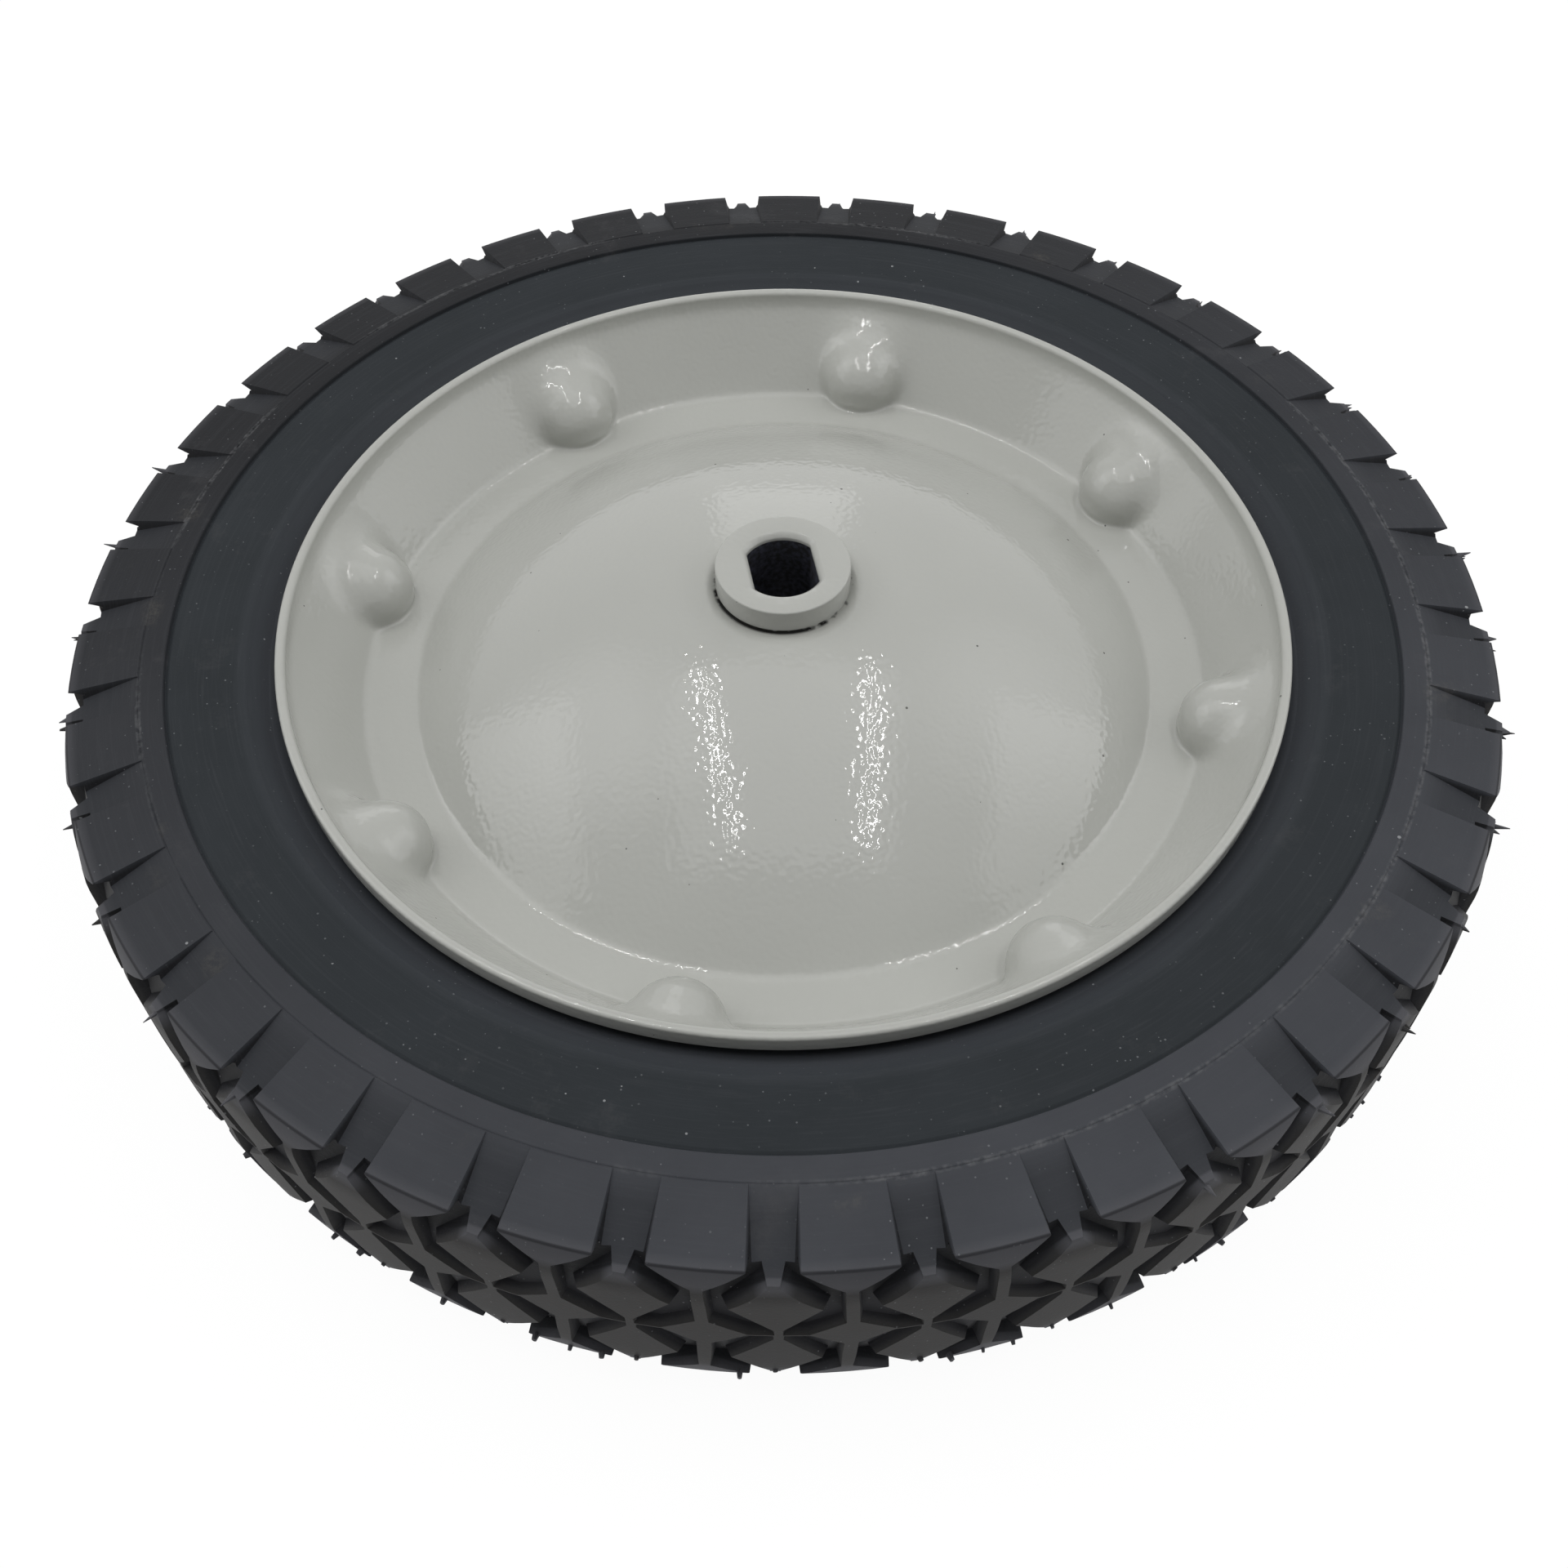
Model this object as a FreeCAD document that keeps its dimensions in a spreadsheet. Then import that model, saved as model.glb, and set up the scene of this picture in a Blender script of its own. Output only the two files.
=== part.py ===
"""Lawn mower drive wheel: two pressed steel discs back to back, a keyed hub tube and a rubber tyre."""
import FreeCAD
import Part
import Sketcher
import os
from FreeCAD import Vector

doc = FreeCAD.newDocument("mower_wheel")

# Driving dimensions, millimetres and degrees. The axle is the Z axis and the tyre's parting plane is Z = 0.
SIZES = {
    "crown_radius": 140.1,
    "crown_drop": 2.0,
    "crown_flat": 17.0,
    "shoulder_height": 21.0,
    "tyre_half_width": 22.8,
    "slot_length": 13.6,
    "slot_width": 8.2,
    "slot_shift": 0.8,
    "slot_depth_inner": 0.5,
    "slot_depth_outer": 2.2,
    "band_width": 4.7,
    "band_step": 0.5,
    "sidewall_fall": 1.7,
    "gap_slope": 6.0,
    "gap_depth": 5.2,
    "rim_gap": 2.0,
    "seat_drop": 6.8,
    "bead_radius": 89.0,
    "tread_count": 37,
    "tread_phase": 6.25,
    "groove_depth": 4.2,
    "rib_width": 1.7,
    "diamond_half": 7.2,
    "diamond_mid": 11.0,
    "diamond_top": 17.8,
    "diamond_tip": 0.9,
    "chevron_high": 16.5,
    "chevron_low": 4.8,
    "chevron_foot": 5.0,
    "chevron_tip": 0.35,
    "notch_half": 4.4,
    "cut_clear": 2.0,
    "sheet": 2.0,
    "lip_radius": 97.3,
    "lip_height": 22.3,
    "lip_flange": 3.0,
    "corner_radius": 85.6,
    "bend_radius": 3.0,
    "dome_edge": 75.2,
    "dome_height": 26.2,
    "dome_blend": 3.0,
    "dimple_count": 8,
    "dimple_phase": 22.5,
    "dimple_radius": 5.6,
    "dimple_reach": 12.5,
    "dimple_inset": 0.3,
    "hub_radius": 13.25,
    "hub_length": 62.8,
    "hub_edge": 0.7,
    "bore_radius": 8.0,
    "bore_flats": 12.7,
    "bore_mouth": 0.8,
}

# Lengths that follow from the driving dimensions.
DERIVED = {
    "pitch": "2 * pi * crown_radius / tread_count",
    "shoulder_radius": "crown_radius - crown_drop",
    "band_outer": "shoulder_radius - slot_length",
    "ring_radius": "band_outer - band_width",
    "crown_round": "((shoulder_height - crown_flat)^2 + crown_drop^2) / (2 * crown_drop)",
    "wall_run": "lip_radius - corner_radius",
    "wall_rise": "lip_height - lip_flange - sheet",
    "wall_length": "sqrt(wall_run^2 + wall_rise^2)",
    "back_out": "sheet * wall_rise / wall_length",
    "back_down": "sheet * wall_run / wall_length",
    "back_corner": "corner_radius + back_out - (sheet - back_down) * wall_run / wall_rise",
    "flange_outer": "lip_radius + sheet",
    "flange_root": "lip_height - lip_flange - back_down + (sheet - back_out) * wall_rise / wall_run",
    "bend_half": "(wall_length - wall_run) / wall_rise",
    "front_tangent": "bend_radius * bend_half",
    "back_tangent": "(bend_radius + sheet) * bend_half",
    "dome_centre": "(hub_radius^2 + dome_height^2 - dome_edge^2 - sheet^2) / (2 * (dome_height - sheet))",
    "dome_front": "sqrt(dome_edge^2 + (sheet - dome_centre)^2)",
    "dome_back": "dome_front - sheet",
    "dome_back_edge": "sqrt(dome_back^2 - dome_centre^2)",
    "dome_back_core": "dome_centre + sqrt(dome_back^2 - (hub_radius / 2)^2)",
    "bead_height": "(bead_radius - back_corner) * wall_rise / wall_run",
    "seat_height": "lip_height - seat_drop",
    "seat_radius": "back_corner + seat_height * wall_run / wall_rise",
    "flat_end": "sqrt(bore_radius^2 - (bore_flats / 2)^2)",
}

sheet = doc.addObject("Spreadsheet::Sheet", "Dims")
for row, (name, value) in enumerate(SIZES.items(), start=1):
    sheet.set("A%d" % row, name)
    sheet.set("B%d" % row, str(value))
    sheet.setAlias("B%d" % row, name)
for row, (name, formula) in enumerate(DERIVED.items(), start=len(SIZES) + 2):
    sheet.set("A%d" % row, name)
    sheet.set("B%d" % row, "=" + formula)
    sheet.setAlias("B%d" % row, name)
doc.recompute()

NAMES = sorted(list(SIZES) + list(DERIVED), key=len, reverse=True)


def bound(formula):
    """The formula with each size written as a cell of the sheet."""
    words = formula.replace("(", " ( ").replace(")", " ) ").split()
    return " ".join("Dims." + word if word in NAMES else word for word in words)


def plane(body, role):
    """A plane or an axis of the body's own origin."""
    for feature in body.Origin.OriginFeatures:
        if feature.Role == role:
            return feature
    raise ValueError("no origin feature " + role)


def new_body(label):
    body = doc.addObject("PartDesign::Body", label)
    body.Label = label
    return body


def new_sketch(body, name, role):
    sketch = body.newObject("Sketcher::SketchObject", name)
    sketch.AttachmentSupport = [(plane(body, role), "")]
    sketch.MapMode = "FlatFace"
    return sketch


def number(sketch, formula):
    """What a formula comes to with the sheet's sizes."""
    return float(sketch.evalExpression(bound(formula)))


def arc_middle(start, end, radius, bulge):
    """The middle of the short arc from start to end; bulge 1 is left of that way, -1 is right."""
    chord = end - start
    half = chord.Length / 2
    left = Vector(-chord.y, chord.x, 0) / chord.Length
    sag = radius - (radius * radius - half * half) ** 0.5
    return (start + end) / 2 + left * (sag * bulge)


def pin_point(sketch, geometry, end, x_formula, y_formula):
    """Bind one end of a line or an arc to the sheet."""
    for kind, formula, axis in (("DistanceX", x_formula, -2), ("DistanceY", y_formula, -1)):
        if formula == "0":
            sketch.addConstraint(Sketcher.Constraint("PointOnObject", geometry, end, axis))
            continue
        index = sketch.addConstraint(Sketcher.Constraint(kind, -1, 1, geometry, end, number(sketch, formula)))
        sketch.setExpression("Constraints[%d]" % index, bound(formula))


def outline(sketch, corners):
    """A closed outline. A corner is (x, y) after a straight edge or (x, y, radius, bulge) after an arc."""
    points = [Vector(number(sketch, c[0]), number(sketch, c[1]), 0) for c in corners]
    ends = []
    for i, corner in enumerate(corners):
        start = points[i - 1]
        finish = points[i]
        if len(corner) == 2:
            index = sketch.addGeometry(Part.LineSegment(start, finish))
            ends.append((index, 1, 2))
            continue
        middle = arc_middle(start, finish, number(sketch, corner[2]), corner[3])
        index = sketch.addGeometry(Part.Arc(start, middle, finish))
        forward = (sketch.getPoint(index, 1) - start).Length < (sketch.getPoint(index, 2) - start).Length
        ends.append((index, 1, 2) if forward else (index, 2, 1))
    for i, corner in enumerate(corners):
        index, first, last = ends[i]
        follower, follower_first, _ = ends[(i + 1) % len(ends)]
        sketch.addConstraint(Sketcher.Constraint("Coincident", index, last, follower, follower_first))
        pin_point(sketch, index, last, corner[0], corner[1])
        if len(corner) == 4:
            c = sketch.addConstraint(Sketcher.Constraint("Radius", index, number(sketch, corner[2])))
            sketch.setExpression("Constraints[%d]" % c, bound(corner[2]))


def revolve(body, kind, name, sketch, axis):
    feature = body.newObject("PartDesign::" + kind, name)
    feature.Profile = sketch
    feature.ReferenceAxis = (sketch, [axis])
    feature.Angle = 360.0
    sketch.Visibility = False
    return feature


def around_axle(body, name, originals, count):
    pattern = body.newObject("PartDesign::PolarPattern", name)
    pattern.Originals = originals
    pattern.Axis = (plane(body, "Z_Axis"), [""])
    pattern.Angle = 360.0
    pattern.setExpression("Occurrences", bound(count))
    body.Tip = pattern
    return pattern


def removed(before, body, what):
    """Stop where a cut took nothing away."""
    doc.recompute()
    after = body.Shape.Volume
    if after >= before - 1.0:
        raise ValueError(what + " cut nothing")
    return after


def round_edges(shape, radius, height):
    """Names of the full circles of one radius about the axle at one height."""
    names = []
    for i, edge in enumerate(shape.Edges, start=1):
        if not edge.Closed or not hasattr(edge.Curve, "Radius"):
            continue
        if abs(edge.Curve.Radius - radius) < 0.01 and abs(edge.Curve.Center.z - height) < 0.01:
            names.append("Edge%d" % i)
    return names


def bore_edges(shape, radius, height):
    """Names of the edges round the bore at both ends of the hub."""
    names = []
    for i, edge in enumerate(shape.Edges, start=1):
        box = edge.BoundBox
        reach = max(abs(box.XMin), abs(box.XMax), abs(box.YMin), abs(box.YMax))
        if box.ZLength < 0.01 and abs(abs(box.ZMax) - height) < 0.01 and reach < radius + 0.01:
            names.append("Edge%d" % i)
    return names


def axis_line(sketch, start, end):
    """A construction line for a turned shape that leans in its sketch, named by its two bound ends."""
    a = Vector(number(sketch, start[0]), number(sketch, start[1]), 0)
    b = Vector(number(sketch, end[0]), number(sketch, end[1]), 0)
    index = sketch.addGeometry(Part.LineSegment(a, b), True)
    pin_point(sketch, index, 1, start[0], start[1])
    pin_point(sketch, index, 2, end[0], end[1])


def along_wall(distance, out):
    """A point of the wall's section: distance up its back face from the foot, out in front of it."""
    x = "back_corner + ( %s ) * wall_run / wall_length - ( %s ) * wall_rise / wall_length" % (distance, out)
    y = "( %s ) * wall_rise / wall_length + ( %s ) * wall_run / wall_length" % (distance, out)
    return x, y


def dimple_half(body, name, radius):
    """Half the section of a round-ended dimple that leans with the wall, and its axis."""
    sketch = new_sketch(body, name, "XZ_Plane")
    turn = FreeCAD.Rotation(Vector(0, 1, 0), 1)
    sketch.AttachmentOffset = FreeCAD.Placement(Vector(), turn)
    sketch.setExpression("AttachmentOffset.Rotation.Angle", bound("dimple_phase"))
    below = "0 - dimple_radius"
    outline(sketch, [
        along_wall(below, "dimple_inset"),
        along_wall("dimple_reach + " + radius, "dimple_inset"),
        along_wall("dimple_reach", "dimple_inset + " + radius) + (radius, -1),
        along_wall(below, "dimple_inset + " + radius),
    ])
    axis_line(sketch, along_wall(below, "dimple_inset"), along_wall("dimple_reach", "dimple_inset"))
    return sketch


# The pressed steel disc: lip flange, flared wall, flat ring, dome and eight dimples that key the tyre.
def rim_disc(label):
    body = new_body(label)
    front = new_sketch(body, label + "_front", "XZ_Plane")
    outline(front, [
        ("hub_radius", "dome_height"),
        ("dome_edge", "sheet", "dome_front", 1),
        ("corner_radius - front_tangent", "sheet"),
        ("corner_radius + front_tangent * wall_run / wall_length",
         "sheet + front_tangent * wall_rise / wall_length", "bend_radius", -1),
        ("lip_radius", "lip_height - lip_flange"),
        ("lip_radius", "lip_height"),
        ("flange_outer", "lip_height"),
        ("flange_outer", "0 - lip_height"),
        ("hub_radius", "0 - lip_height"),
    ])
    face = revolve(body, "Revolution", label + "_face", front, "V_Axis")
    doc.recompute()
    blend = body.newObject("PartDesign::Fillet", label + "_dome_foot")
    blend.Base = (face, round_edges(face.Shape, number(front, "dome_edge"), number(front, "sheet")))
    blend.setExpression("Radius", bound("dome_blend"))
    doc.recompute()

    bump = dimple_half(body, label + "_bump", "dimple_radius")
    outer = revolve(body, "Revolution", label + "_dimple", bump, "Axis0")
    doc.recompute()
    around_axle(body, label + "_dimples", [outer], "dimple_count")
    doc.recompute()
    volume = body.Shape.Volume

    back = new_sketch(body, label + "_back", "XZ_Plane")
    outline(back, [
        ("hub_radius / 2", "0 - 2 * lip_height"),
        ("lip_radius + lip_height", "0 - 2 * lip_height"),
        ("lip_radius + lip_height", "flange_root"),
        ("flange_outer", "flange_root"),
        ("back_corner + back_tangent * wall_run / wall_length", "back_tangent * wall_rise / wall_length"),
        ("back_corner - back_tangent", "0", "bend_radius + sheet", 1),
        ("dome_back_edge", "0"),
        ("hub_radius / 2", "dome_back_core", "dome_back", -1),
    ])
    revolve(body, "Groove", label + "_sheet", back, "V_Axis")
    volume = removed(volume, body, "the back of the sheet")

    hollow = dimple_half(body, label + "_hollow", "( dimple_radius - sheet )")
    pocket = revolve(body, "Groove", label + "_pocket", hollow, "Axis0")
    volume = removed(volume, body, "the dimple's pocket")
    around_axle(body, label + "_pockets", [pocket], "dimple_count")
    removed(volume, body, "the pockets")
    return body


# The hub: a plain tube with a double-D bore for a keyed axle.
def hub_tube():
    body = new_body("hub")
    end = new_sketch(body, "hub_end", "XY_Plane")
    index = end.addGeometry(Part.Circle(Vector(0, 0, 0), Vector(0, 0, 1), number(end, "hub_radius")))
    end.addConstraint(Sketcher.Constraint("Coincident", index, 3, -1, 1))
    radius = end.addConstraint(Sketcher.Constraint("Radius", index, number(end, "hub_radius")))
    end.setExpression("Constraints[%d]" % radius, bound("hub_radius"))
    outline(end, [
        ("bore_flats / 2", "flat_end"),
        ("0 - bore_flats / 2", "flat_end", "bore_radius", -1),
        ("0 - bore_flats / 2", "0 - flat_end"),
        ("bore_flats / 2", "0 - flat_end", "bore_radius", -1),
    ])
    tube = body.newObject("PartDesign::Pad", "hub_tube")
    tube.Profile = end
    tube.setExpression("Length", bound("hub_length"))
    tube.Midplane = True
    doc.recompute()
    half = number(end, "hub_length / 2")
    tops = round_edges(tube.Shape, number(end, "hub_radius"), half)
    bottoms = round_edges(tube.Shape, number(end, "hub_radius"), -half)
    rounded = body.newObject("PartDesign::Fillet", "hub_rounding")
    rounded.Base = (tube, tops + bottoms)
    rounded.setExpression("Radius", bound("hub_edge"))
    doc.recompute()
    mouths = bore_edges(rounded.Shape, number(end, "bore_radius"), half)
    mouth = body.newObject("PartDesign::Chamfer", "bore_mouths")
    mouth.Base = (rounded, mouths)
    mouth.setExpression("Size", bound("bore_mouth"))
    body.Tip = mouth
    doc.recompute()
    return body


# The tyre: a section with a crowned tread, cut by shoulder slots and by chevron grooves.
def moulded_tyre():
    body = new_body("tyre")
    section = new_sketch(body, "tyre_section", "XZ_Plane")
    upper = [
        ("crown_radius", "crown_flat"),
        ("shoulder_radius", "shoulder_height", "crown_round", -1),
        ("band_outer", "tyre_half_width"),
        ("ring_radius", "tyre_half_width"),
        ("ring_radius", "tyre_half_width - band_step"),
        ("flange_outer + gap_slope", "tyre_half_width - sidewall_fall"),
        ("flange_outer + rim_gap", "tyre_half_width - gap_depth"),
        ("seat_radius", "seat_height"),
        ("bead_radius", "bead_height"),
    ]
    lower = [
        ("bead_radius", "0 - bead_height"),
        ("seat_radius", "0 - seat_height"),
        ("flange_outer + rim_gap", "gap_depth - tyre_half_width"),
        ("flange_outer + gap_slope", "sidewall_fall - tyre_half_width"),
        ("ring_radius", "band_step - tyre_half_width"),
        ("ring_radius", "0 - tyre_half_width"),
        ("band_outer", "0 - tyre_half_width"),
        ("shoulder_radius", "0 - shoulder_height"),
        ("crown_radius", "0 - crown_flat", "crown_round", -1),
    ]
    outline(section, upper + lower)
    revolve(body, "Revolution", "tyre_moulding", section, "V_Axis")
    doc.recompute()
    volume = body.Shape.Volume

    chevrons = new_sketch(body, "tread_chevrons", "YZ_Plane")
    chevrons.setExpression("AttachmentOffset.Base.z", bound("crown_radius + cut_clear"))
    for side in ("", "0 - "):
        for face in ("", "0 - "):
            turn = 1 if side == face else -1
            chevron = [
                ("rib_width / 2", "diamond_top"),
                ("diamond_half", "diamond_mid"),
                ("rib_width / 2", "diamond_tip"),
                ("rib_width / 2", "chevron_tip"),
                ("chevron_foot", "chevron_tip"),
                ("( pitch / 2 - rib_width / 2 )", "chevron_low"),
                ("( pitch / 2 - rib_width / 2 )", "chevron_high"),
                ("notch_half", "shoulder_height"),
                ("notch_half", "( tyre_half_width + cut_clear )"),
                ("rib_width / 2", "( tyre_half_width + cut_clear )"),
            ]
            lean = " - slot_shift * %s / shoulder_height"
            chevron = [(side + across + lean % up, face + up) for across, up in chevron]
            outline(chevrons, chevron[::turn])
    grooves = body.newObject("PartDesign::Pocket", "tread_grooves")
    grooves.Profile = chevrons
    grooves.setExpression("Length", bound("groove_depth + cut_clear"))
    volume = removed(volume, body, "the tread grooves")

    slots = new_sketch(body, "shoulder_slots", "XZ_Plane")
    slots.setExpression("AttachmentOffset.Base.z", bound("slot_shift"))
    for face in ("", "0 - "):
        slot = [
            ("band_outer", face + "( tyre_half_width - slot_depth_inner )"),
            ("shoulder_radius", face + "( shoulder_height - slot_depth_outer )"),
            ("crown_radius + cut_clear", face + "( shoulder_height - slot_depth_outer )"),
            ("crown_radius + cut_clear", face + "( tyre_half_width + cut_clear )"),
            ("band_outer", face + "( tyre_half_width + cut_clear )"),
        ]
        outline(slots, slot)
    cuts = body.newObject("PartDesign::Pocket", "slot_cuts")
    cuts.Profile = slots
    cuts.Midplane = True
    cuts.setExpression("Length", bound("slot_width"))
    volume = removed(volume, body, "the shoulder slots")

    around_axle(body, "tread", [grooves, cuts], "tread_count")
    removed(volume, body, "the tread pattern")
    return body


outer_disc = rim_disc("outer_rim_disc")
inner_disc = rim_disc("inner_rim_disc")
hub = hub_tube()
tyre = moulded_tyre()

# The inner disc is the same pressing turned over; the tyre stands at its own angle on the rim.
outer_disc.Placement = FreeCAD.Placement()
inner_disc.Placement = FreeCAD.Placement(Vector(), FreeCAD.Rotation(Vector(1, 0, 0), 180))
tyre.Placement = FreeCAD.Placement(Vector(), FreeCAD.Rotation(Vector(0, 0, 1), 1))
tyre.setExpression("Placement.Rotation.Angle", bound("tread_phase"))
doc.recompute()

for item in doc.Objects:
    if "Invalid" in item.State or "Error" in item.State:
        raise ValueError("fault in " + item.Name)
os.makedirs("parts", exist_ok=True)
for body in (outer_disc, inner_disc, hub, tyre):
    shape = body.Shape
    if shape.isNull() or not shape.isValid() or len(shape.Solids) != 1:
        raise ValueError("bad shape " + body.Label)
    shape.exportStep("parts/%s.step" % body.Label)
    print(body.Label, round(shape.Volume / 1000.0, 1), "cm3", len(shape.Faces), "faces")
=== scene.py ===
"""Lawn mower wheel: enamelled pressed discs, hub and rubber tyre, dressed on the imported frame."""
import bmesh
import bpy
import math
import numpy as np
import random
from mathutils import Matrix, Vector


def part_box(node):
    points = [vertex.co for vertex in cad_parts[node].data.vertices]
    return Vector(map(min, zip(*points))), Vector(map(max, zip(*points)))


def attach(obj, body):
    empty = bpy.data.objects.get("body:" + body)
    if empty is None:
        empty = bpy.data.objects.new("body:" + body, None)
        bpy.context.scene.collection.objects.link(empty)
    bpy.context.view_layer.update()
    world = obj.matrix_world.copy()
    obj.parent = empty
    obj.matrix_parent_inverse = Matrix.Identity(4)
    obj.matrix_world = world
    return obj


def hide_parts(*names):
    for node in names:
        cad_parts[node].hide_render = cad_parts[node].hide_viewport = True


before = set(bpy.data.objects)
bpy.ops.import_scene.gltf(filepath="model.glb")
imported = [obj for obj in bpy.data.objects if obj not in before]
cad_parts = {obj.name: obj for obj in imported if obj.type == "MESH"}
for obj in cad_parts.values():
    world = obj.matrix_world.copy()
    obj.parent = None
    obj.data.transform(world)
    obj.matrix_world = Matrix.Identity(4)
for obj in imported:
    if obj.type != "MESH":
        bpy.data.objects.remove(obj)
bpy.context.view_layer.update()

# Sizes in millimetres. The axle is Z and the tyre's parting plane is Z = 0. Most sizes are the solids' own;
# the grooves, slots, dimples, crown and lower shoulder follow the photograph more closely.
MM = 0.001
CROWN_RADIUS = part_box("tyre")[1][0] / MM
TYRE_HALF_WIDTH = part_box("tyre")[1][2] / MM
HUB_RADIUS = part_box("hub")[1][0] / MM
HUB_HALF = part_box("hub")[1][2] / MM

TREAD_COUNT = 37
TREAD_PHASE = 6.25
TREAD_LEAN = 0.8
CROWN_FLAT = 12.0
SHOULDER_RADIUS = CROWN_RADIUS - 2.0
SHOULDER_HEIGHT = TYRE_HALF_WIDTH - 1.8
BAND_OUTER = SHOULDER_RADIUS - 13.6
RING_RADIUS = BAND_OUTER - 4.7
SIDEWALL_FALL = 1.7
GAP_SLOPE = 6.0
GAP_DEPTH = 5.2
RIM_GAP = 2.0
SEAT_DROP = 6.8
SLOT_HALF = 3.9
SLOT_FLARE = 0.025
SLOT_DRAFT = math.tan(math.radians(25))
SLOT_DEPTH_INNER = 0.2
SLOT_DEPTH_OUTER = 2.3
LOWER_CROWN = CROWN_RADIUS - 0.3
LOWER_SHOULDER = SHOULDER_RADIUS + 0.9
GROOVE_DEPTH = 2.5
GROOVE_FALL = 0.06
GROOVE_DIVE = 0.26
RIB_HALF = 0.85
DIAMOND_HALF = 7.2
DIAMOND_MID = 11.0
DIAMOND_TOP = 17.8
DIAMOND_TIP = 2.3
TIP_HALF = 0.6
CHEVRON_TIP = 0.35
CHEVRON_FOOT = 5.0
CHEVRON_LOW = 4.8
CHEVRON_HIGH = 16.5
NOTCH_HALF = 4.4
DRAFT = math.tan(math.radians(21))
NUB_WIDTH = 1.5
NUB_LENGTH = 1.2
NUB_TIP = 0.34
FLASH_WIDTH = 1.8
FLASH_LENGTH = 3.2
FLASH_TIP = 0.06
NUB_SUNK = 0.5
NUB_SEED = 11

SHEET = 2.0
LIP_RADIUS = 97.3
LIP_HEIGHT = 22.3
LIP_FLANGE = 3.0
FLANGE_OUTER = LIP_RADIUS + SHEET
CORNER_RADIUS = 85.6
DOME_EDGE = 75.2
DOME_HEIGHT = 26.2
BEAD_RADIUS = 89.0
DIMPLE_COUNT = 8
DIMPLE_PHASE = 22.5
DIMPLE_RADIUS = 9.0
DIMPLE_UP = 4.9
DIMPLE_SUNK = 1.3
DIMPLE_BLEND = 0.9
DIMPLE_FADE = 0.45

BORE_RADIUS = 8.0
BORE_FLAT = 6.35

# Places nearer to each other than this count as one.
NEAR = 0.01

# The rim wall's slope, its back face one sheet behind the front, and the dome's sphere.
wall_run = LIP_RADIUS - CORNER_RADIUS
wall_rise = LIP_HEIGHT - LIP_FLANGE - SHEET
wall_length = math.hypot(wall_run, wall_rise)
back_out = SHEET * wall_rise / wall_length
back_down = SHEET * wall_run / wall_length
back_corner = CORNER_RADIUS + back_out - (SHEET - back_down) * wall_run / wall_rise
flange_root = LIP_HEIGHT - LIP_FLANGE - back_down + (SHEET - back_out) * wall_rise / wall_run
dome_span = HUB_RADIUS ** 2 + DOME_HEIGHT ** 2 - DOME_EDGE ** 2 - SHEET ** 2
dome_centre = dome_span / (2 * (DOME_HEIGHT - SHEET))
dome_front = math.hypot(DOME_EDGE, SHEET - dome_centre)


def linear(code):
    """An sRGB hex colour as linear RGBA."""
    parts = [int(code[i:i + 2], 16) / 255 for i in (1, 3, 5)]
    return [p / 12.92 if p <= 0.04045 else ((p + 0.055) / 1.055) ** 2.4 for p in parts] + [1.0]


def add(tree, kind, inputs=None, **settings):
    """A node with its settings; each input is another node's socket or a plain value."""
    node = tree.nodes.new(kind)
    for name, value in settings.items():
        setattr(node, name, value)
    for name, value in (inputs or {}).items():
        if isinstance(value, bpy.types.NodeSocket):
            tree.links.new(value, node.inputs[name])
        else:
            node.inputs[name].default_value = value
    return node


def per_metre(millimetres):
    """The scale that gives a texture this spacing on object coordinates."""
    return 1 / (millimetres * MM)


def new_material(name):
    """An empty material and its node tree."""
    material = bpy.data.materials.new(name)
    material.use_nodes = True
    material.node_tree.nodes.clear()
    return material, material.node_tree


def maths(tree, operation, *values):
    """The result of one calculation on sockets or plain values."""
    return add(tree, "ShaderNodeMath", dict(enumerate(values)), operation=operation).outputs[0]


def times(tree, *factors):
    """The product of several masks or plain values."""
    product = factors[0]
    for factor in factors[1:]:
        product = maths(tree, "MULTIPLY", product, factor)
    return product


def noise(tree, place, spacing, detail, roughness=0.5):
    """A cloudy pattern with this spacing in millimetres."""
    pattern = add(tree, "ShaderNodeTexNoise", {
        "Vector": place, "Scale": per_metre(spacing), "Detail": detail, "Roughness": roughness})
    return pattern.outputs["Fac"]


def specks(tree, place, spacing, size, share):
    """A mask of small round specks, in a share of the cells of a loose pattern."""
    cells = add(tree, "ShaderNodeTexVoronoi", {"Vector": place, "Scale": per_metre(spacing)}).outputs
    chance = add(tree, "ShaderNodeSeparateColor", {"Color": cells["Color"]}).outputs
    chosen = maths(tree, "LESS_THAN", chance["Red"], share)
    reach = maths(tree, "MULTIPLY", chance["Green"], size / spacing)
    inside = maths(tree, "LESS_THAN", cells["Distance"], reach)
    return times(tree, chosen, inside)


def tinted(tree, mask, under, over):
    """One colour over another where the mask is 1."""
    return add(tree, "ShaderNodeMix", {0: mask, 6: under, 7: over}, data_type="RGBA").outputs[2]


def axle_distance(tree, place):
    """Distance from the axle, in metres."""
    flat = add(tree, "ShaderNodeVectorMath", {0: place, 1: (1, 1, 0)}, operation="MULTIPLY")
    return add(tree, "ShaderNodeVectorMath", {0: flat.outputs[0]}, operation="LENGTH").outputs["Value"]


def z_size(tree, vector):
    """The size of a vector's Z part, whichever way it points."""
    return maths(tree, "ABSOLUTE", add(tree, "ShaderNodeSeparateXYZ", {0: vector}).outputs["Z"])


def reach_towards(tree, place, direction):
    """How far a point lies from the axle in one direction, in metres."""
    reach = add(tree, "ShaderNodeVectorMath", {0: place, 1: direction}, operation="DOT_PRODUCT")
    return reach.outputs["Value"]


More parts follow.
